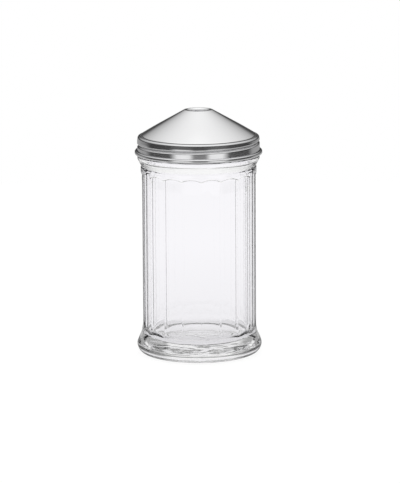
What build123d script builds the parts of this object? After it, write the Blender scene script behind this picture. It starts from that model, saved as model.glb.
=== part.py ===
from build123d import *
import os
from math import atan2, cos, degrees, pi, radians, sin, sqrt, tan

# Centre-pour table shaker: a pressed glass jar with flat side panels and a two-piece screw lid.
# Millimetres. The jar stands on z = 0, its axis is Z, and one corner between two panels points to -Y.

# Foot of the jar
heel_overhang = 2.85
heel_round = 5.9
heel_land = 0.7
heel_top_round = 3.3
foot_ring_inset = 14.25
hollow_slope = 1.6
hollow_height = 1.3
hollow_round = 0.7
flare_height = 6.9
flare_round = 3.0

# Body of the jar
body_r = 34.6
floor_thickness = 6.5
floor_round = 9.0
wall = 3.0
panel_count = 18
panel_corner_inset = 0.3
panel_above_flare = 0.7
panel_run_out = 4.8
panel_height = 91.6
panel_arch_rise = 1.2

# Neck of the jar
collar_band = 2.7
collar_round = 0.5
waist_depth = 0.45
waist_drop = 0.6
flank_height = 4.4
bead_reach = 0.95
bead_height = 2.0
bead_low_round = 1.2
bead_high_round = 0.8
bead_slope = 0.3
neck_round = 0.6
neck_height = 9.8
neck_wall = 1.65
lip_round = 0.6
bore_step_rise = 2.0
bore_step_drop = 3.1
bore_round = 30.0

# Screw thread, right-handed, six turns to the inch
pitch = 25.4 / 6
thread_crest_r = 35.55
thread_round = 1.1
thread_turns = 1.05
thread_below_lip = 1.9
thread_top_angle = 200
thread_slack = 0.12

# Sheet steel of the lid
band_sheet = 0.4
cone_sheet = 0.45
skirt_clearance = 0.68
groove_depth = 1.2
groove_turns = 0.81
groove_top_angle = 20
ridge_overrun = 0.014

# Screw band
shoulder_taper = 0.33
shoulder_round = 0.8
shoulder_land = 2.1
skirt_round = 1.0
ring_reach = 1.7
hem_round = 0.72
hem_flat = 0.05
hem_side = 0.86
hem_gap = 0.2
hem_above_bead = 0.65

# Pour cone
pour_hole_r = 5.9
pour_wall_height = 2.8
rim_round = 1.0
rim_land = 2.12
crown_round = 4.0
cone_rise = 16.05
cone_foot_drop = 1.1
cone_ring_gap = 0.4
cone_foot_spread = 0.2
cone_foot_round = 0.8
cone_flange_round = 0.45

# Sealing ring
seal_thickness = 0.7
seal_inset = 0.3
seal_skirt_gap = 0.5
seal_round = 0.2

# Shortest straight that is left between two rounds, and how far cutters end outside the glass
least_flat = 0.03
cutter_clear = 0.05
cutter_reach = 1.0

# Heights and radii that follow from the sizes above
heel_r = body_r + heel_overhang
foot_ring_r = heel_r - foot_ring_inset
hollow_r = foot_ring_r - hollow_slope
heel_top_z = heel_round + heel_land
flare_top_z = heel_top_z + flare_height
floor_z = hollow_height + floor_thickness
panel_corner_r = body_r - panel_corner_inset
panel_flat_r = panel_corner_r * cos(pi / panel_count)
run_out_low_z = flare_top_z + panel_above_flare
panel_low_z = run_out_low_z + panel_run_out
panel_high_z = panel_low_z + panel_height
bore_r = panel_flat_r - wall
collar_top_z = panel_high_z + collar_band
waist_z = collar_top_z + waist_drop
bead_low_z = waist_z + flank_height
bead_high_z = bead_low_z + bead_height
neck_low_z = bead_high_z + bead_slope
lip_z = neck_low_z + neck_height

neck_r = thread_crest_r - thread_round
neck_bore_r = neck_r - neck_wall
bead_r = thread_crest_r + bead_reach
skirt_inner_r = thread_crest_r + skirt_clearance
skirt_outer_r = skirt_inner_r + band_sheet
skirt_mid_r = skirt_inner_r + band_sheet / 2
shoulder_top_r = skirt_mid_r - shoulder_taper
ring_inner_r = skirt_mid_r - ring_reach

thread_top_z = lip_z - thread_below_lip
thread_low_z = thread_top_z - thread_turns * pitch
thread_low_angle = thread_top_angle - 360 * thread_turns

flange_low_z = lip_z + seal_thickness
flange_mid_z = flange_low_z + cone_sheet / 2
ring_mid_z = flange_low_z + cone_sheet + band_sheet / 2
shoulder_low_z = ring_mid_z - shoulder_round - shoulder_land
crest_mid_z = flange_mid_z + cone_rise
hem_low_z = bead_high_z + hem_above_bead
hem_mid_z = hem_low_z + band_sheet / 2
hem_mid_r = skirt_mid_r + 2 * hem_round + hem_flat
hem_crest_z = hem_mid_z + 2 * hem_round + hem_side

# The ridge pressed into the skirt hooks under the jar's thread, and both follow one helix
ridge_round = groove_depth + band_sheet
ridge_below_thread = sqrt((thread_round + ridge_round) ** 2 - (skirt_outer_r - neck_r) ** 2) + thread_slack
groove_zero_z = thread_top_z - pitch * thread_top_angle / 360 - ridge_below_thread + pitch


def sheet_section(corners, rounds, thickness):
    """Cross-section of a pressed sheet along its rounded middle line, given as radius and height."""
    with BuildSketch(Plane.XZ, mode=Mode.PRIVATE) as section:
        with BuildLine():
            FilletPolyline(*corners, radius=rounds)
            offset(amount=thickness / 2)
        make_face()
    return section.sketch


def screw_line(low_angle, low_z, turns, radius):
    """Right-handed helix round the axis, up from a height and an angle in degrees."""
    with BuildLine(mode=Mode.PRIVATE) as line:
        Helix(pitch, turns * pitch, radius, center=(0, 0, low_z))
    return line.line.rotate(Axis.Z, low_angle)


# Glass jar: one pressed piece with a moulded thread
flare_angle = atan2(heel_overhang, flare_height)
heel_top_fillet = min(heel_top_round, (heel_land - least_flat) / tan(flare_angle / 2))
jar_outline = [
    (0, hollow_height),
    (hollow_r, hollow_height),
    (foot_ring_r, 0),
    (heel_r, 0),
    (heel_r, heel_top_z),
    (body_r, flare_top_z),
    (body_r, collar_top_z),
    (body_r - waist_depth, waist_z),
    (bead_r, bead_low_z),
    (bead_r, bead_high_z),
    (neck_r, neck_low_z),
    (neck_r, lip_z),
    (neck_bore_r, lip_z),
    (neck_bore_r, bead_low_z + bore_step_rise),
    (bore_r, waist_z - bore_step_drop),
    (bore_r, floor_z),
    (0, floor_z),
]
jar_rounds = [
    0,
    hollow_round,
    hollow_round,
    heel_round,
    heel_top_fillet,
    flare_round,
    collar_round,
    collar_round,
    bead_low_round,
    bead_high_round,
    neck_round,
    lip_round,
    lip_round,
    bore_round,
    bore_round,
    floor_round,
    0,
]
half_panel = panel_corner_r * sin(pi / panel_count)
arch_r = (half_panel**2 + panel_arch_rise**2) / (2 * panel_arch_rise)
run_out_angle = degrees(atan2(body_r + cutter_clear - panel_flat_r, panel_run_out))
thread_line = screw_line(thread_low_angle, thread_low_z, thread_turns, neck_r)

with BuildPart() as panel_cutter:
    with BuildSketch(Plane.XY.offset(run_out_low_z)):
        Circle(body_r + cutter_reach)
    extrude(amount=panel_high_z - panel_arch_rise - run_out_low_z)
    with BuildSketch(Plane.XY.offset(panel_low_z)):
        RegularPolygon(panel_corner_r, panel_count, rotation=180 / panel_count)
    extrude(amount=panel_height, mode=Mode.SUBTRACT)
    with BuildSketch(Plane.XY.offset(panel_low_z)):
        RegularPolygon(panel_corner_r, panel_count, rotation=180 / panel_count)
    extrude(amount=-panel_run_out, taper=-run_out_angle, mode=Mode.SUBTRACT)

with BuildPart() as glass_jar:
    with BuildSketch(Plane.XZ):
        with BuildLine():
            FilletPolyline(*jar_outline, radius=jar_rounds, close=True)
        make_face()
    revolve(axis=Axis.Z)
    add(panel_cutter.part, mode=Mode.SUBTRACT)
    for index in range(panel_count):
        facing = radians(360 * index / panel_count)
        outward = (cos(facing), sin(facing), 0)
        centre = (panel_flat_r * outward[0], panel_flat_r * outward[1], panel_high_z - arch_r)
        with BuildSketch(Plane(origin=centre, z_dir=outward)):
            Circle(arch_r)
        extrude(amount=body_r - panel_flat_r + cutter_reach, mode=Mode.SUBTRACT)
    with BuildSketch(Plane(origin=thread_line @ 0, z_dir=thread_line % 0)):
        Circle(thread_round)
    sweep(path=thread_line, is_frenet=True)
    with Locations(thread_line @ 0, thread_line @ 1):
        Sphere(thread_round)
glass_jar.part.label = "glass_jar"

# Screw band: stamped skirt with a tapered shoulder, a rolled screw groove and an outward curled hem
band_path = [
    (ring_inner_r + band_sheet / 2, ring_mid_z),
    (shoulder_top_r, ring_mid_z),
    (skirt_mid_r, shoulder_low_z),
    (skirt_mid_r, hem_mid_z),
    (hem_mid_r, hem_mid_z),
    (hem_mid_r, hem_crest_z),
    (skirt_outer_r + hem_gap + band_sheet / 2, hem_crest_z),
]
band_rounds = [shoulder_round, skirt_round, hem_round, hem_round, hem_round]


def groove_line(extra_turns):
    """Helix of the rolled groove on the skirt's outer face, longer at both ends by a part of a turn."""
    low_angle = groove_top_angle - 360 * (groove_turns + extra_turns)
    low_z = groove_zero_z + pitch * low_angle / 360
    return screw_line(low_angle, low_z, groove_turns + 2 * extra_turns, skirt_outer_r)


groove = groove_line(extra_turns=0)
ridge = groove_line(extra_turns=ridge_overrun)
ridge_start = ridge @ 0
ridge_plane = Plane(
    origin=ridge_start,
    x_dir=(-ridge_start.X, -ridge_start.Y, 0),
    z_dir=ridge % 0,
)

with BuildPart() as groove_roll:
    with BuildSketch(Plane(origin=groove @ 0, z_dir=groove % 0)):
        Circle(groove_depth)
    sweep(path=groove, is_frenet=True)
    with Locations(groove @ 0, groove @ 1):
        Sphere(groove_depth)

with BuildPart() as screw_band:
    revolve(sheet_section(band_path, band_rounds, band_sheet), axis=Axis.Z)
    with BuildSketch(ridge_plane):
        Circle(ridge_round)
        with Locations((band_sheet / 2 - ridge_round, 0)):
            Rectangle(2 * ridge_round, 2 * ridge_round, mode=Mode.SUBTRACT)
    sweep(path=ridge, is_frenet=True)
    add(groove_roll.part, mode=Mode.SUBTRACT)
screw_band.part.label = "screw_band"

# Pour cone: polished stamping with a turned-in hole, its flange held under the band's ring
cone_flange_r = ring_inner_r - cone_ring_gap
cone_foot_r = cone_flange_r - cone_foot_spread
cone_foot_z = flange_mid_z + cone_foot_drop
pour_mid_r = pour_hole_r + cone_sheet / 2
crown_r = pour_mid_r + rim_land
crown_angle = atan2(crest_mid_z - cone_foot_z, cone_foot_r - crown_r)
crown_fillet = min(crown_round, (rim_land - rim_round - least_flat) / tan(crown_angle / 2))
cone_path = [
    (pour_mid_r, crest_mid_z - pour_wall_height),
    (pour_mid_r, crest_mid_z),
    (crown_r, crest_mid_z),
    (cone_foot_r, cone_foot_z),
    (cone_flange_r, flange_mid_z),
    (shoulder_top_r - shoulder_round - cone_sheet / 2, flange_mid_z),
]
cone_rounds = [rim_round, crown_fillet, cone_foot_round, cone_flange_round]

with BuildPart() as pour_cone:
    revolve(sheet_section(cone_path, cone_rounds, cone_sheet), axis=Axis.Z)
pour_cone.part.label = "pour_cone"

# Lid liner: flat sealing ring between the cone's flange and the glass lip
seal_inner_r = neck_bore_r + seal_inset
seal_outer_r = skirt_inner_r - seal_skirt_gap
seal_outline = [
    (seal_inner_r, lip_z),
    (seal_outer_r, lip_z),
    (seal_outer_r, flange_low_z),
    (seal_inner_r, flange_low_z),
]

with BuildPart() as lid_liner:
    with BuildSketch(Plane.XZ):
        with BuildLine():
            FilletPolyline(*seal_outline, radius=seal_round, close=True)
        make_face()
    revolve(axis=Axis.Z)
lid_liner.part.label = "lid_liner"

os.makedirs("parts", exist_ok=True)
for piece in (glass_jar, screw_band, pour_cone, lid_liner):
    export_step(piece.part, f"parts/{piece.part.label}.step")

print("capacity to the lip in millilitres:", round(pi * bore_r**2 * (lip_z - floor_z) / 1000))
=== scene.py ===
from math import atan2, cos, degrees, pi, radians, sin, sqrt

import bpy
from mathutils import Matrix, Vector


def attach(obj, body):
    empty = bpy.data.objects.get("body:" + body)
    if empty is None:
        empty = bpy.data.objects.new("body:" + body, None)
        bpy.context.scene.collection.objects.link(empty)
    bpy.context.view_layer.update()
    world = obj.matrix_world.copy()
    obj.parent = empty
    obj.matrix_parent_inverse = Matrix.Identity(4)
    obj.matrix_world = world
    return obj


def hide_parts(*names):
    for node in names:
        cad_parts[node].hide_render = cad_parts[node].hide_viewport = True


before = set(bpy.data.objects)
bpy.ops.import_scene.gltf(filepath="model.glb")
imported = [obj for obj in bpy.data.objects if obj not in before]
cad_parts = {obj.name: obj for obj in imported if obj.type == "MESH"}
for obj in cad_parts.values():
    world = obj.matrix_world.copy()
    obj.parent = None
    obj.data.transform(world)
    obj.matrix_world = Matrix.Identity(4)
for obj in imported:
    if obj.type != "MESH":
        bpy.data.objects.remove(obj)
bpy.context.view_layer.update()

# Centre-pour table shaker: clear pressed glass jar, screw band, polished pour cone, sealing ring.
# Sizes of the pieces are in millimetres where they are written and become metres in the mesh.
MM = 0.001


# Tools that draw and turn a piece

def clear_selection():
    """Leaves nothing selected, so that an operator acts on the new piece alone."""
    if bpy.context.mode != "OBJECT":
        bpy.ops.object.mode_set(mode="OBJECT")
    bpy.ops.object.select_all(action="DESELECT")


def select_where(test):
    """Selects the vertices of the piece in edit mode whose place passes the test."""
    bpy.ops.mesh.select_mode(type="VERT")
    bpy.ops.mesh.select_all(action="DESELECT")
    bpy.ops.object.mode_set(mode="OBJECT")
    mesh = bpy.context.object.data
    for corner in mesh.vertices:
        corner.select = test(corner.co)
    for edge in mesh.edges:
        edge.select = all(mesh.vertices[i].select for i in edge.vertices)
    for face in mesh.polygons:
        face.select = all(mesh.vertices[i].select for i in face.vertices)
    bpy.ops.object.mode_set(mode="EDIT")


def draw_outline(name, corners, facing=-90.0, closed=False):
    """Draws a wire through (radius, height) corners, then rounds those that have a reach and steps."""
    clear_selection()
    out = Vector((cos(radians(facing)), sin(radians(facing)), 0.0))
    spots = [out * corner[0] * MM + Vector((0, 0, corner[1] * MM)) for corner in corners]
    bpy.ops.mesh.primitive_plane_add(size=MM)
    piece = bpy.context.object
    piece.name = name
    piece.data.name = name
    bpy.ops.object.mode_set(mode="EDIT")
    bpy.ops.mesh.merge(type="CENTER")
    bpy.ops.transform.translate(value=spots[0])
    for here, there in zip(spots, spots[1:]):
        bpy.ops.mesh.extrude_region_move(TRANSFORM_OT_translate={"value": there - here})
    if closed:
        select_where(lambda co: min((co - spots[0]).length, (co - spots[-1]).length) < 1e-6)
        bpy.ops.mesh.edge_face_add()
    for spot, corner in zip(spots, corners):
        if len(corner) > 2:
            select_where(lambda co: (co - spot).length < 1e-6)
            bpy.ops.mesh.bevel(
                offset_type="OFFSET", offset=corner[2] * MM, segments=corner[3], profile=0.5,
                affect="VERTICES",
            )
    return piece


def cut_run(radius, low_z, high_z, cuts):
    """Cuts the outline's straight upright run whose ends lie at these heights."""
    select_where(
        lambda co: abs(co.xy.length - radius * MM) < 1e-5
        and low_z - 0.005 < co.z / MM < high_z + 0.005
    )
    bpy.ops.mesh.subdivide(number_cuts=cuts)


def turn_whole(steps):
    """Spins the outline once round the axis and closes the seam and the poles."""
    bpy.ops.mesh.select_all(action="SELECT")
    bpy.ops.mesh.spin(steps=steps, angle=2 * pi, center=(0, 0, 0), axis=(0, 0, 1))
    close_and_face_out()


def close_and_face_out():
    bpy.ops.mesh.select_all(action="SELECT")
    bpy.ops.mesh.remove_doubles(threshold=2e-6)
    bpy.ops.mesh.normals_make_consistent(inside=False)
    bpy.ops.object.mode_set(mode="OBJECT")


def apply_modifier(piece, kind, **settings):
    """Adds a modifier with these settings and applies it."""
    modifier = piece.modifiers.new(kind.title(), kind)
    for key, value in settings.items():
        setattr(modifier, key, value)
    bpy.context.view_layer.objects.active = piece
    bpy.ops.object.modifier_apply(modifier=modifier.name)


def finish_skin(piece):
    """Smooth shading in which the large faces keep their own direction."""
    clear_selection()
    piece.select_set(True)
    bpy.context.view_layer.objects.active = piece
    bpy.ops.object.shade_smooth()
    apply_modifier(piece, "WEIGHTED_NORMAL", mode="FACE_AREA", weight=50, keep_sharp=True)


# Screw lines: the jar's thread stands out of its neck and the band's groove is rolled into its skirt

PITCH = 25.4 / 6
UPPER_FLANK_STEEPNESS = 1.3


def along_screw(co, zero_z, low_angle, top_angle, half_width, fade):
    """How far a screw line is pressed at a point, from 0 off the line to 1 on it."""
    angle = degrees(atan2(co.y, co.x))
    share = 0.0
    while angle > low_angle - fade:
        angle -= 360.0
    while angle < top_angle + fade:
        rise = co.z - zero_z - PITCH * angle / 360.0
        off = abs(rise) / half_width * (UPPER_FLANK_STEEPNESS if rise > 0 else 1.0)
        end = min(1.0, (angle - low_angle + fade) / fade, (top_angle + fade - angle) / fade)
        if off < 1.0 and end > 0.0:
            share = max(share, 0.5 * (1 + cos(pi * off)) * sin(end * pi / 2))
        angle += 360.0
    return share


def press_screw_line(piece, weight, radius):
    """Presses a screw line into or out of a wall, towards the radius, as far as the weight says."""
    group = piece.vertex_groups.new(name="screw_line")
    for corner in piece.data.vertices:
        share = weight(corner.co / MM)
        if share > 0:
            group.add([corner.index], share, "REPLACE")
    apply_modifier(
        piece, "CAST", cast_type="CYLINDER", use_radius_as_size=False, size=radius * MM, factor=1.0,
        vertex_group="screw_line",
    )
    piece.vertex_groups.remove(piece.vertex_groups["screw_line"])


# Glass jar, modelled as one of its panels and copied round the axis

PANELS = 18
PANEL_ANGLE = 360.0 / PANELS
PANEL_STEPS = 20
HOLLOW_R = 21.6
HOLLOW_Z = 1.3
RING_R = 23.2
HEEL_R = 37.45
HEEL_ROUND = 5.9
HEEL_TOP_Z = 6.6
FLARE_TOP_Z = 13.5
BODY_R = 34.6
PANEL_CORNER_R = 34.3
PANEL_FLAT_R = PANEL_CORNER_R * cos(pi / PANELS)
PANEL_HIGH_Z = 110.6
ARCH_R = 15.4
COLLAR_TOP_Z = 113.3
WAIST_R = 34.15
WAIST_Z = 113.9
BEAD_R = 36.5
BEAD_LOW_Z = 118.3
BEAD_HIGH_Z = 120.3
NECK_R = 34.45
NECK_LOW_Z = 120.6
NECK_FOOT_ROUND = 0.52
LIP_Z = 130.4
LIP_ROUND = 0.6
NECK_BORE_R = 32.8
BORE_STEP_HIGH_Z = 120.3
BORE_STEP_LOW_Z = 110.8
BORE_STEP_ROUND = 3.2
BORE_R = PANEL_FLAT_R - 3.0
FLOOR_Z = 7.8
FLOOR_ROUND = 9.0
THREAD_CREST_R = 35.55
THREAD_LOW_ANGLE = -178
THREAD_TOP_ANGLE = 200
THREAD_TOP_Z = 128.5
THREAD_ZERO_Z = THREAD_TOP_Z - PITCH * THREAD_TOP_ANGLE / 360.0
THREAD_HALF_WIDTH = 1.25
THREAD_FADE = 14

# Rows across the lower end of a panel: height, and how much of the body's roundness is left there
RUN_OUT_ROWS = (
    (14.3, 1.0), (14.9, 0.85), (15.7, 0.6), (16.5, 0.35), (17.3, 0.15), (18.1, 0.04), (19.1, 0.0),
)

# Rows across its upper end: height from the panel's top, and the roundness left
ARCH_ROWS = ((-1.6, 0.0), (-0.5, 0.0), (-0.4, 0.1), (-0.15, 0.75), (0.0, 1.0), (1.2, 1.0))

# How much of the arch's sag the rows take on that lie between two distances from the panel's top
ARCH_SAGS = ((0.8, 1.8, 0.5), (-0.1, 0.55, 1.0))

JAR_OUTLINE = [
    (0.0, HOLLOW_Z),
    (HOLLOW_R, HOLLOW_Z, 0.7, 4),
    (RING_R, 0.0, 0.7, 5),
    (HEEL_R, 0.0, HEEL_ROUND, 14),
    (HEEL_R, HEEL_TOP_Z, 0.66, 6),
    (BODY_R, FLARE_TOP_Z, 0.6, 6),
    *((BODY_R, height) for height, kept in RUN_OUT_ROWS),
    *((BODY_R, PANEL_HIGH_Z + rise) for rise, kept in ARCH_ROWS),
    (BODY_R, COLLAR_TOP_Z, 0.17, 3),
    (WAIST_R, WAIST_Z, 0.32, 4),
    (BEAD_R, BEAD_LOW_Z, 0.3, 4),
    (BEAD_R, BEAD_HIGH_Z, 0.69, 6),
    (NECK_R, NECK_LOW_Z, NECK_FOOT_ROUND, 4),
    (NECK_R, LIP_Z, LIP_ROUND, 6),
    (NECK_BORE_R, LIP_Z, LIP_ROUND, 6),
    (NECK_BORE_R, BORE_STEP_HIGH_Z, BORE_STEP_ROUND, 6),
    (BORE_R, BORE_STEP_LOW_Z, BORE_STEP_ROUND, 6),
    (BORE_R, FLOOR_Z, FLOOR_ROUND, 16),
    (0.0, FLOOR_Z),
]


def sag(beside):
    """How far the arched end of a panel drops at a distance from its middle."""
    return ARCH_R - sqrt(ARCH_R**2 - beside**2)


def on_outer_wall(co):
    """True beyond the panel's plane, apart from a small allowance."""
    return co.xy.length > (PANEL_FLAT_R - 0.3) * MM


def press_row(height, kept):
    """Presses a row of the outer wall towards the panel's plane, and keeps a part of its roundness."""
    select_where(lambda co: on_outer_wall(co) and abs(co.z / MM - height) < 0.04)
    bpy.ops.transform.resize(
        value=(1 - (1 - PANEL_CORNER_R / BODY_R) * (1 - kept), kept, 1.0),
        center_override=(0.0, -PANEL_FLAT_R * MM, 0.0),
    )


def shape_panel():
    """Flattens the sector's outer wall into a panel, arched at its top and run out at its foot."""
    for height, kept in RUN_OUT_ROWS:
        press_row(height, kept)
    for rise, kept in ARCH_ROWS:
        press_row(PANEL_HIGH_Z + rise, kept)
    for step in range(1, PANEL_STEPS // 2 + 1):
        beside = PANEL_CORNER_R * sin(radians(PANEL_ANGLE / PANEL_STEPS * step))
        for near, far, share in ARCH_SAGS:
            select_where(
                lambda co: on_outer_wall(co)
                and abs(abs(co.x) / MM - beside) < 0.1
                and near < abs(co.z / MM - PANEL_HIGH_Z) < far
            )
            bpy.ops.transform.translate(value=(0, 0, -sag(beside) * share * MM))


def thread_share(co):
    """The thread stands out of the neck's outer wall alone."""
    if co.xy.length <= NECK_BORE_R + 0.2 or not NECK_LOW_Z - 0.1 < co.z < LIP_Z - 0.2:
        return 0.0
    return along_screw(
        co, THREAD_ZERO_Z, THREAD_LOW_ANGLE, THREAD_TOP_ANGLE, THREAD_HALF_WIDTH, THREAD_FADE,
    )


def build_jar():
    piece = draw_outline("glass_jar_pressed", JAR_OUTLINE, facing=PANEL_ANGLE / 2 - 90.0)
    cut_run(NECK_R, NECK_LOW_Z + NECK_FOOT_ROUND, LIP_Z - LIP_ROUND, cuts=44)
    cut_run(NECK_BORE_R, BORE_STEP_HIGH_Z + BORE_STEP_ROUND, LIP_Z - LIP_ROUND, cuts=2)
    cut_run(BORE_R, FLOOR_Z + FLOOR_ROUND, BORE_STEP_LOW_Z - BORE_STEP_ROUND, cuts=12)
    bpy.ops.mesh.select_all(action="SELECT")
    bpy.ops.mesh.spin(steps=PANEL_STEPS, angle=radians(PANEL_ANGLE), center=(0, 0, 0), axis=(0, 0, 1))
    shape_panel()
    bpy.ops.mesh.select_all(action="SELECT")
    bpy.ops.mesh.spin(
        steps=PANELS - 1, dupli=True, angle=radians(360.0 - PANEL_ANGLE), center=(0, 0, 0),
        axis=(0, 0, 1),
    )
    bpy.ops.mesh.select_all(action="SELECT")
    bpy.ops.transform.rotate(
        value=radians(PANEL_ANGLE / 2), orient_axis="Z", center_override=(0, 0, 0),
    )
    close_and_face_out()
    press_screw_line(piece, thread_share, THREAD_CREST_R)
    finish_skin(piece)
    return piece


# Screw band: one sheet, rolled groove, curled hem. Its outline is the middle of the sheet.

LID_STEPS = 300
BAND_SHEET = 0.4
LAND_R = 34.95
SHOULDER_R = 36.1
SHOULDER_Z = 131.75
SHOULDER_ROUND = 0.95
TAPER_LOW_Z = 128.85
TAPER_ROUND = 0.3
TAPER_CUTS_LOW_Z = TAPER_LOW_Z + 0.25
TAPER_CUTS_HIGH_Z = SHOULDER_Z - 0.65
SKIRT_R = 36.43
HEM_R = 37.92
HEM_Z = 121.15
HEM_ROUND = 0.72
HEM_CREST_Z = 123.15
HEM_END_R = 37.03
GROOVE_DEPTH = 1.2
GROOVE_ZERO_Z = 128.67
GROOVE_LOW_ANGLE = -272
GROOVE_TOP_ANGLE = 20
GROOVE_HALF_WIDTH = 1.35
GROOVE_FADE = 10

BAND_OUTLINE = [
    (LAND_R, SHOULDER_Z),
    (SHOULDER_R, SHOULDER_Z, SHOULDER_ROUND, 8),
    (SKIRT_R, TAPER_LOW_Z, TAPER_ROUND, 4),
    (SKIRT_R, HEM_Z, HEM_ROUND, 8),
    (HEM_R, HEM_Z, HEM_ROUND, 8),
    (HEM_R, HEM_CREST_Z, HEM_ROUND, 8),
    (HEM_END_R, HEM_CREST_Z),
]


def groove_share(co):
    """The groove is rolled into the skirt and the taper, and stays off the hem and the shoulder."""
    if co.xy.length >= SKIRT_R + 0.01 or not HEM_Z + 0.75 < co.z < SHOULDER_Z - 0.85:
        return 0.0
    return along_screw(
        co, GROOVE_ZERO_Z, GROOVE_LOW_ANGLE, GROOVE_TOP_ANGLE, GROOVE_HALF_WIDTH, GROOVE_FADE,
    )


def build_band():
    piece = draw_outline("screw_band_rolled", BAND_OUTLINE)
    cut_run(SKIRT_R, HEM_Z + HEM_ROUND, TAPER_LOW_Z - TAPER_ROUND, cuts=46)
    select_where(lambda co: TAPER_CUTS_LOW_Z < co.z / MM < TAPER_CUTS_HIGH_Z)
    bpy.ops.mesh.subdivide(number_cuts=12)
    turn_whole(LID_STEPS)
    press_screw_line(piece, groove_share, SKIRT_R - GROOVE_DEPTH)
    apply_modifier(piece, "SOLIDIFY", thickness=BAND_SHEET * MM, offset=0.0, use_even_offset=True)
    finish_skin(piece)
    return piece


# Pour cone: one drawn sheet with a turned-in hole. Its outline is the middle of the sheet.

CONE_SHEET = 0.45
POUR_HOLE_R = 6.125
POUR_WALL_Z = 144.575
CREST_R = 8.245
CREST_Z = 147.375
CROWN_R = 27.0
CROWN_Z = 136.8
FOOT_R = 34.15
FOOT_Z = 132.425
FLANGE_LOW_R = 34.35
FLANGE_R = 35.125
FLANGE_Z = 131.325

CONE_OUTLINE = [
    (POUR_HOLE_R, POUR_WALL_Z),
    (POUR_HOLE_R, CREST_Z, 1.5, 10),
    (CREST_R, CREST_Z, 0.58, 6),
    (CROWN_R, CROWN_Z, 4.5, 8),
    (FOOT_R, FOOT_Z, 0.4, 8),
    (FLANGE_LOW_R, FLANGE_Z, 0.35, 5),
    (FLANGE_R, FLANGE_Z),
]


def build_cone():
    piece = draw_outline("pour_cone_drawn", CONE_OUTLINE)
    turn_whole(LID_STEPS)
    apply_modifier(piece, "SOLIDIFY", thickness=CONE_SHEET * MM, offset=0.0, use_even_offset=True)
    finish_skin(piece)
    return piece


# Sealing ring on the glass lip

SEAL_INNER_R = 33.1
SEAL_OUTER_R = 35.73
SEAL_THICKNESS = 0.7
SEAL_ROUND = 0.2
SEAL_STEPS = 180
SEAL_OUTLINE = [
    (SEAL_INNER_R, LIP_Z, SEAL_ROUND, 3),
    (SEAL_OUTER_R, LIP_Z, SEAL_ROUND, 3),
    (SEAL_OUTER_R, LIP_Z + SEAL_THICKNESS, SEAL_ROUND, 3),
    (SEAL_INNER_R, LIP_Z + SEAL_THICKNESS, SEAL_ROUND, 3),
]


def build_seal():
    piece = draw_outline("lid_liner_ring", SEAL_OUTLINE, closed=True)
    turn_whole(SEAL_STEPS)
    finish_skin(piece)
    return piece


# Tools that lay out shader nodes. Places in a shader are in metres.

def add_node(tree, kind, sockets=None, **settings):
    """Adds a node; each socket, by name or number, takes a value or another node's output."""
    node = tree.nodes.new(kind)
    for key, value in settings.items():
        setattr(node, key, value)
    for key, value in (sockets or {}).items():
        if isinstance(value, bpy.types.NodeSocket):
            tree.links.new(value, node.inputs[key])
        else:
            node.inputs[key].default_value = value
    return node


def calculate(tree, operation, *values):
    return add_node(tree, "ShaderNodeMath", dict(enumerate(values)), operation=operation).outputs[0]


def refit(tree, value, start, end, first=0.0, last=1.0, kind="LINEAR"):
    """Moves a value from between start and end to between first and last, and holds it there."""
    sockets = {"Value": value, "From Min": start, "From Max": end, "To Min": first, "To Max": last}
    return add_node(tree, "ShaderNodeMapRange", sockets, interpolation_type=kind).outputs["Result"]


def grey(level):
    return (level, level, level, 1.0)


def ramp(tree, value, stops):
    """Grey levels at places between 0 and 1."""
    node = add_node(tree, "ShaderNodeValToRGB", {"Fac": value})
    elements = node.color_ramp.elements
    while len(elements) < len(stops):
        elements.new(0.5)
    for element, (place, level) in zip(elements, stops):
        element.position = place
    for element, (place, level) in zip(elements, stops):
        element.color = grey(level)
    return node.outputs["Color"]


def blend(tree, share, first, second, kind="MIX"):
    """Mixes two colours; the share is how much of the second shows."""
    sockets = {0: share, 6: first, 7: second}
    return add_node(tree, "ShaderNodeMix", sockets, data_type="RGBA", blend_type=kind).outputs[2]


def noise(tree, place, scale, detail, seed=None):
    """Soft noise between 0 and 1; a seed takes it from another part of the pattern."""
    sockets = {"Vector": place, "Scale": scale, "Detail": detail}
    if seed is None:
        return add_node(tree, "ShaderNodeTexNoise", sockets).outputs["Fac"]
    sockets["W"] = seed
    return add_node(tree, "ShaderNodeTexNoise", sockets, noise_dimensions="4D").outputs["Fac"]


def bump(tree, height, strength, distance, under=None):
    """Bends the surface's normal by a height, on top of another bump if there is one."""
    sockets = {"Height": height, "Strength": strength, "Distance": distance}
    if under is not None:
        sockets["Normal"] = under
    return add_node(tree, "ShaderNodeBump", sockets).outputs["Normal"]


def point_place(tree, kind="Object"):
    return add_node(tree, "ShaderNodeTexCoord").outputs[kind]


def take_apart(tree, place):
    return add_node(tree, "ShaderNodeSeparateXYZ", {"Vector": place}).outputs


def length(tree, place):
    return add_node(tree, "ShaderNodeVectorMath", {0: place}, operation="LENGTH").outputs["Value"]


def from_axis(tree, apart):
    """Distance from the upright axis."""
    flat = add_node(tree, "ShaderNodeCombineXYZ", {"X": apart["X"], "Y": apart["Y"]})
    return length(tree, flat.outputs["Vector"])


def new_material(name):
    material = bpy.data.materials.new(name)
    material.use_nodes = True
    return material, material.node_tree, material.node_tree.nodes["Principled BSDF"]


def wire(tree, shader, sockets):
    """Links outputs to the shader's sockets of these names."""
    for key, output in sockets.items():
        tree.links.new(output, shader.inputs[key])


# Materials

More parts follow.
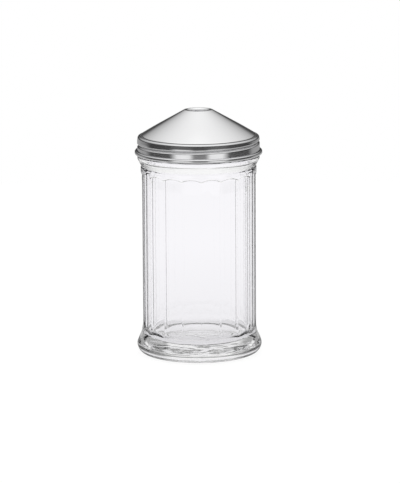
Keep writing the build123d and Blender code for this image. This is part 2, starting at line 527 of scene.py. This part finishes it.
def clear_glass():
    """Pressed soda glass: faint waviness, a fine ridge where panels meet, a stippled and duller foot."""
    material, tree, shader = new_material("clear_pressed_glass")
    shader.inputs["Base Color"].default_value = grey(1.0)
    shader.inputs["Transmission Weight"].default_value = 1.0
    shader.inputs["IOR"].default_value = 1.52
    place = point_place(tree)
    apart = take_apart(tree, place)
    wavy = bump(tree, noise(tree, place, 70.0, 1.0), 0.25, 0.0002)

    # The underside is stippled, in patches on its ring and all over in its hollow
    underside = refit(tree, apart["Z"], 0.0016, 0.003, 1.0, 0.0)
    patches = noise(tree, place, 60.0, 1.0, seed=12.5)
    ring = refit(tree, patches, 0.42, 0.56, kind="SMOOTHSTEP")
    hollow = refit(tree, from_axis(tree, apart), 0.0195, 0.021, 1.0, 0.0)
    stippled = calculate(tree, "MULTIPLY", underside, calculate(tree, "MAXIMUM", ring, hollow))
    pits = noise(tree, place, 140.0, 1.0, seed=13.6)
    pitted = bump(tree, pits, stippled, 0.0011, under=wavy)

    # The panels meet in a fine ridge along their flat part
    turn = calculate(tree, "ARCTAN2", apart["Y"], apart["X"])
    panel_half = pi / PANELS
    fold = calculate(tree, "PINGPONG", calculate(tree, "SUBTRACT", turn, panel_half), panel_half)
    crest = refit(tree, fold, 0.0, 0.016, 1.0, 0.0, kind="SMOOTHSTEP")
    share_of_height = refit(tree, apart["Z"], 0.0, LIP_Z * MM)
    flat_part = ramp(tree, share_of_height, [(0.14, 0.0), (0.17, 1.0), (0.84, 1.0), (0.85, 0.0)])
    ridge = calculate(tree, "MULTIPLY", crest, flat_part)
    ridged = bump(tree, ridge, 1.0, 0.00008, under=pitted)

    # The rounding under the heel is duller than the walls
    foot = refit(tree, apart["Z"], 0.0, 0.01)
    dull = ramp(tree, foot, [
        (0.0, 0.03), (0.04, 0.03), (0.08, 0.15), (0.3, 0.15), (0.5, 0.0), (1.0, 0.0),
    ])
    wire(tree, shader, {"Normal": ridged, "Roughness": dull})
    return material


def turned_steel(name, colour, smooth, rough, ring_scale):
    """Steel sheet with fine rings from spinning: the rings follow radius and height."""
    material, tree, shader = new_material(name)
    shader.inputs["Metallic"].default_value = 1.0
    shader.inputs["Base Color"].default_value = colour
    apart = take_apart(tree, point_place(tree))
    along = add_node(tree, "ShaderNodeCombineXYZ", {"X": from_axis(tree, apart), "Z": apart["Z"]})
    rings = noise(tree, along.outputs["Vector"], ring_scale, 3.0)
    finish = refit(tree, rings, 0.3, 0.7, smooth, rough)
    wire(tree, shader, {"Roughness": finish, "Normal": bump(tree, rings, 0.3, 0.000012)})
    return material


def liner_foam():
    """Pale foamed sealing sheet with a fine grain."""
    material, tree, shader = new_material("liner_foam")
    shader.inputs["Roughness"].default_value = 0.6
    grain = noise(tree, point_place(tree), 2500.0, 4.0)
    tint = blend(tree, grain, (0.66, 0.66, 0.63, 1.0), (0.80, 0.80, 0.78, 1.0))
    wire(tree, shader, {"Base Color": tint, "Normal": bump(tree, grain, 0.5, 0.00005)})
    return material


def dress(piece, material, node, body):
    piece.data.materials.clear()
    piece.data.materials.append(material)
    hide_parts(node)
    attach(piece, body)


# Floor, world, lamp and camera, in metres

def white_table():
    """Matt paint that looks white to the camera and greyer in the steel; seen through glass it glows,
    with painted shade under the jar.
    """
    material = bpy.data.materials.new("white_table")
    material.use_nodes = True
    tree = material.node_tree
    tree.nodes.clear()
    ways = add_node(tree, "ShaderNodeLightPath").outputs
    direct = calculate(tree, "MAXIMUM", ways["Is Camera Ray"], ways["Is Transmission Ray"])
    mirrored = blend(tree, ways["Is Glossy Ray"], grey(0.8), grey(0.45))
    tone = blend(tree, direct, mirrored, grey(0.12))
    paint = add_node(tree, "ShaderNodeBsdfDiffuse", {"Color": tone})

    # Seen through glass, the table glows a little less near the jar, which is painted shade under the
    # jar, and is faintly cool
    glow_with_painted_shade = ramp(tree, length(tree, point_place(tree)), [
        (0.0, 0.74), (0.038, 0.74), (0.048, 0.82), (0.1, 0.8), (0.33, 0.86),
    ])
    # Painted shade: the glow seen through glass is lowest under the jar's foot
    glassed = calculate(tree, "MULTIPLY", ways["Is Transmission Ray"], glow_with_painted_shade)
    lift = refit(tree, ways["Is Camera Ray"], 0.0, 1.0, 0.12, 0.92)
    strength = calculate(tree, "MAXIMUM", lift, glassed)
    hue = blend(tree, ways["Is Transmission Ray"], grey(1.0), (0.975, 0.965, 1.0, 1.0))
    glow = add_node(tree, "ShaderNodeEmission", {"Color": hue, "Strength": strength})
    both = add_node(tree, "ShaderNodeAddShader", {0: paint.outputs[0], 1: glow.outputs[0]})
    add_node(tree, "ShaderNodeOutputMaterial", {"Surface": both.outputs[0]})
    return material


def set_floor():
    """Table disc just under the foot, which takes the soft shadow."""
    clear_selection()
    bpy.ops.mesh.primitive_circle_add(
        vertices=128, radius=0.6, fill_type="NGON", location=(0, 0, -0.05 * MM),
    )
    floor = bpy.context.object
    floor.name = "table_disc"
    floor.data.materials.append(white_table())


def steel_view(tree, bearing, height, rise):
    """What steel mirrors: dark and pale low walls, and a sky that brightens with height."""
    low_walls = ramp(tree, bearing, [
        (0.0, 0.36), (0.33, 0.34), (0.42, 0.05), (0.68, 0.05), (0.76, 1.0), (0.89, 1.0), (0.94, 0.2),
        (1.0, 0.2),
    ])
    back_sky = ramp(tree, height, [
        (0.0, 0.05), (0.2, 0.07), (0.36, 0.4), (0.6, 0.65), (0.85, 0.86), (0.93, 0.92), (0.965, 1.0),
    ])
    front_sky = ramp(tree, height, [(0.0, 0.07), (0.4, 0.08), (0.62, 1.0), (1.0, 1.0)])
    high_walls = blend(tree, refit(tree, bearing, 0.45, 0.65), back_sky, front_sky)
    return blend(tree, rise, low_walls, high_walls)


def glass_view(tree, bearing, height, rise):
    """What shows through glass: walls that are darker at the sides, and a ceiling with dark flanks."""
    low_walls = ramp(tree, bearing, [
        (0.0, 0.97), (0.25, 0.97), (0.36, 0.52), (0.7, 0.52), (0.8, 0.9), (1.0, 0.9),
    ])
    ceiling = ramp(tree, height, [
        (0.0, 0.85), (0.1, 0.85), (0.14, 1.0), (0.33, 1.0), (0.4, 0.68), (0.55, 0.66), (1.0, 0.66),
    ])
    flanks = ramp(tree, bearing, [
        (0.0, 1.0), (0.12, 1.0), (0.19, 0.42), (0.3, 0.42), (0.5, 0.75), (1.0, 0.75),
    ])
    return blend(tree, rise, low_walls, blend(tree, 1.0, ceiling, flanks, kind="MULTIPLY"))


def set_world():
    """Plain white light, with a soft studio that only metal and glass show."""
    world = bpy.data.worlds.new("studio")
    bpy.context.scene.world = world
    world.use_nodes = True
    tree = world.node_tree
    tree.nodes.clear()
    apart = take_apart(tree, point_place(tree, "Generated"))
    height = apart["Z"]
    rise = refit(tree, height, -0.1, 0.03)

    # Bearing: 0 is straight behind the object, 1 straight in front, and both sides are alike
    beside = calculate(tree, "ABSOLUTE", apart["X"])
    bearing = calculate(tree, "DIVIDE", calculate(tree, "ARCTAN2", beside, apart["Y"]), pi)

    ways = add_node(tree, "ShaderNodeLightPath").outputs
    steel = blend(tree, ways["Is Glossy Ray"], grey(0.8), steel_view(tree, bearing, height, rise))
    through = glass_view(tree, bearing, height, rise)
    glass = blend(tree, ways["Is Transmission Ray"], steel, through)
    seen = blend(tree, ways["Is Camera Ray"], glass, grey(1.0))
    sky = add_node(tree, "ShaderNodeBackground", {"Color": seen})
    add_node(tree, "ShaderNodeOutputWorld", {"Surface": sky.outputs[0]})


def set_lamp():
    lamp = bpy.data.lights.new("overhead_softbox", "AREA")
    lamp.shape = "DISK"
    lamp.size = 0.9
    lamp.energy = 3.5
    holder = bpy.data.objects.new("overhead_softbox", lamp)
    bpy.context.scene.collection.objects.link(holder)
    holder.location = (0.0, 0.15, 1.3)
    body_middle = Vector((0, 0, 0.06))
    holder.rotation_euler = (body_middle - holder.location).to_track_quat("-Z", "Y").to_euler()
    holder.visible_camera = False
    holder.visible_glossy = False
    holder.visible_transmission = False


def set_camera():
    """Long lens at the photograph's height and angle, rolled as far as the photograph leans."""
    camera = bpy.data.cameras.new("camera")
    camera.lens = 273.4
    camera.sensor_width = 36.0
    camera.clip_end = 50.0
    holder = bpy.data.objects.new("camera", camera)
    bpy.context.scene.collection.objects.link(holder)
    distance = 2.2
    elevation, swing, roll = radians(10.74), radians(-2.6), radians(0.33)
    centre = Vector((0, 0, 0.0735))
    away = Vector((cos(elevation) * sin(swing), -cos(elevation) * cos(swing), sin(elevation)))
    holder.location = centre + away * distance
    right = Vector((cos(swing), sin(swing), 0))
    aim = Vector((0, 0, 0.06737)) + right * 0.0006
    facing = (aim - holder.location).to_track_quat("-Z", "Y").to_matrix().to_4x4()
    facing = facing @ Matrix.Rotation(-roll, 4, "Z")
    holder.rotation_euler = facing.to_euler()
    bpy.context.scene.camera = holder


bpy.context.scene.view_settings.view_transform = "Standard"
dress(build_jar(), clear_glass(), "glass_jar", "jar")
band_steel = turned_steel(
    "band_steel", colour=(0.84, 0.84, 0.85, 1.0), smooth=0.10, rough=0.18, ring_scale=2600.0,
)
dress(build_band(), band_steel, "screw_band", "lid")
cone_steel = turned_steel(
    "cone_steel", colour=(0.95, 0.95, 0.955, 1.0), smooth=0.08, rough=0.14, ring_scale=1800.0,
)
dress(build_cone(), cone_steel, "pour_cone", "lid")
dress(build_seal(), liner_foam(), "lid_liner", "liner")
set_floor()
set_world()
set_lamp()
set_camera()
